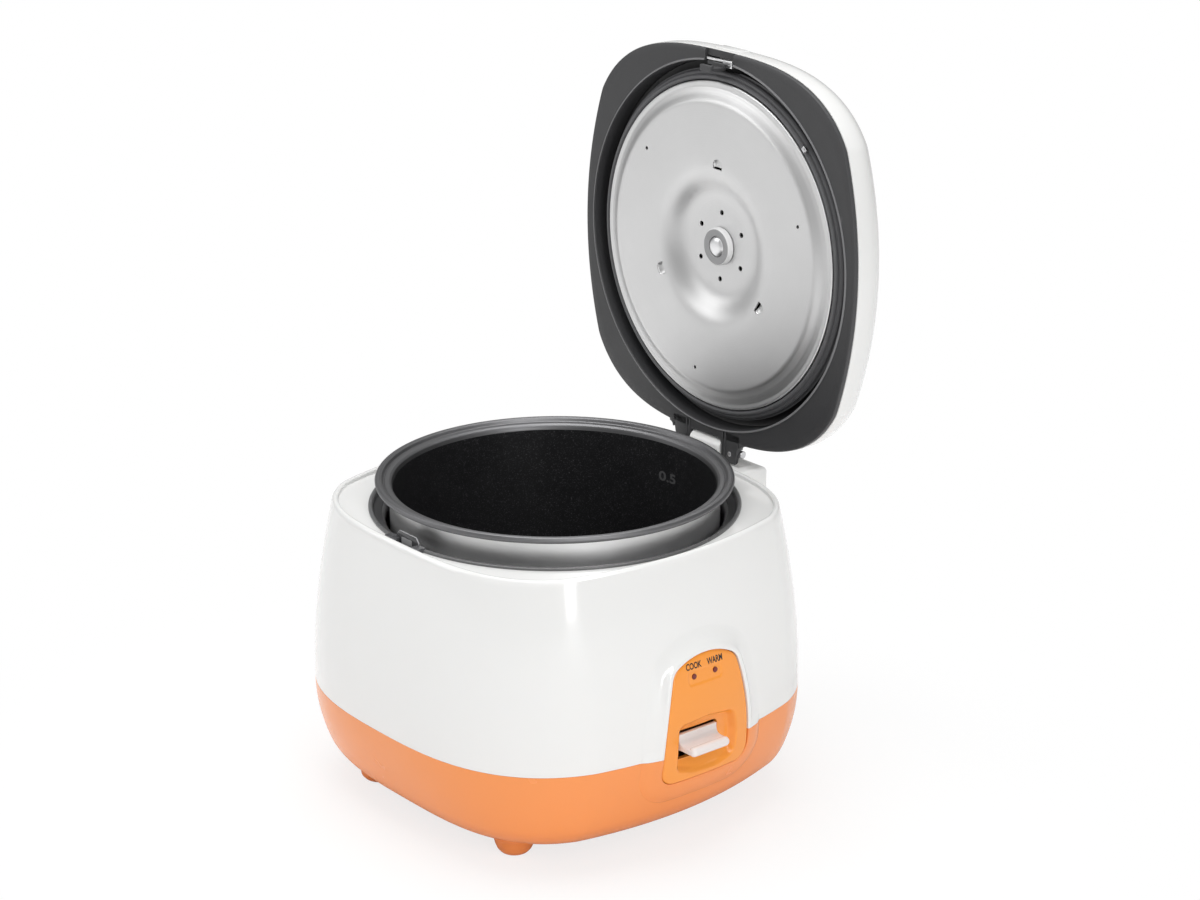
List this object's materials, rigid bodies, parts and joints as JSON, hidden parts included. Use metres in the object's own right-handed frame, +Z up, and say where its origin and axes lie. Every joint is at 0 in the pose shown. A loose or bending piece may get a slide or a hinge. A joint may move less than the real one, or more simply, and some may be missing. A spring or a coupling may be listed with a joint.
{
  "type": "rice cooker",
  "caption": "Rice cooker with a sprung hinged lid, lift-out pot, detachable inner lid plate, lid latch, steam cap, sprung thermostat and cook switch.",
  "frame": {"origin": "on the pot axis, at the level the four feet stand on", "axes": "+Z up along the pot axis, -Y towards the control panel, -X towards the latch, +X towards the hinge"},
  "size_m": [0.2515, 0.234, 0.363],
  "materials": {
    "white_shell": "glossy",
    "orange_base": "satin gloss",
    "orange_panel": "glossy",
    "dark_frame": "fine texture",
    "collar_grey": "semi gloss",
    "seal_grey": "matte",
    "plate_metal": "satin",
    "bush_grey": "satin",
    "steel": "satin",
    "spring_steel": "bright",
    "pot_coating": "speckled non-stick inside, satin metal outside",
    "cast_heater": "cast",
    "key_white": "glossy",
    "lamp_red": "glossy",
    "board_green": "satin",
    "ivory_insulator": "matte",
    "black_rubber": "matte",
    "ferrite": "matte",
    "duct_grey": "satin"
  },
  "bodies": {
    "body": {"base_shell": "orange_base", "outer_shell": "white_shell", "collar_ring": "collar_grey", "latch_catch": "collar_grey", "inner_can": "steel", "heating_plate": "cast_heater", "heater_posts": "ivory_insulator", "thermostat_guide": "steel", "thermostat_spring": "spring_steel", "switch_bracket": "steel", "switch_pin": "steel", "contact_block": "ivory_insulator", "control_panel": "orange_panel", "cook_lamp_lens": "lamp_red", "warm_lamp_lens": "lamp_red", "lamp_board": "board_green", "terminal_block": "ivory_insulator", "thermal_fuse": "ivory_insulator", "cord_gland": "black_rubber", "base_screws": "steel", "hinge_pin": "steel", "hinge_spring": "spring_steel"},
    "thermostat": {"thermostat_cap": "steel", "ferrite_disc": "ferrite"},
    "pot": {"inner_pot": "pot_coating"},
    "magnet": {"magnet_rod": "ferrite"},
    "cook_switch": {"switch_arm": "steel", "switch_key": "key_white"},
    "lid": {"lid_shell": "white_shell", "lid_frame": "dark_frame", "lid_screws": "steel", "steam_duct": "duct_grey", "plate_pin": "steel", "latch_pin": "steel", "latch_spring": "spring_steel"},
    "inner_lid": {"inner_plate": "plate_metal", "plate_seal": "seal_grey", "plate_bush": "bush_grey"},
    "steam_valve": {"steam_cap": "white_shell"},
    "latch": {"latch_hook": "collar_grey", "latch_button": "white_shell"}
  },
  "joints": [
    {"name": "lid_hinge", "type": "hinge", "parent": "body", "child": "lid", "pos_m": [0.106, 0, 0.1559], "axis": [0, 1, 0], "range_deg": [-91, 0], "stiffness_Nm_per_rad": 0.2, "springref_deg": 68.75},
    {"name": "thermostat_press", "type": "slide", "parent": "body", "child": "thermostat", "axis": [0, 0, 1], "range_m": [-0.012, 0], "deforming": ["thermostat_spring"]},
    {"name": "pot_lift", "type": "slide", "parent": "thermostat", "child": "pot", "axis": [0, 0, 1], "range_m": [0, 0.13]},
    {"name": "latch_press", "type": "hinge", "parent": "lid", "child": "latch", "pos_m": [0.12118, 0, 0.35526], "axis": [0, -1, 0], "range_deg": [0, 3.8], "stiffness_Nm_per_rad": 0.05, "springref_deg": -17.19},
    {"name": "plate_pull", "type": "slide", "parent": "lid", "child": "inner_lid", "axis": [-0.9998, 0, 0.0175], "range_m": [0, 0.008]},
    {"name": "steam_cap_lift", "type": "slide", "parent": "lid", "child": "steam_valve", "axis": [0.9998, 0, -0.0175], "range_m": [0, 0.02]},
    {"name": "switch_press", "type": "hinge", "parent": "body", "child": "cook_switch", "pos_m": [0, -0.048, 0.0258], "axis": [1, 0, 0], "range_deg": [0, 5.5]},
    {"name": "magnet_lift", "type": "slide", "parent": "body", "child": "magnet", "axis": [0, 0, 1], "range_m": [0, 0.0046], "stiffness_N_per_m": 60, "springref_m": -0.005}
  ],
  "couplings": [
    {"joint": "thermostat_press", "follows": "lid_hinge", "m_per_rad": 0.0075555},
    {"joint": "switch_press", "follows": "magnet_lift", "rad_per_m": 20.8}
  ]
}
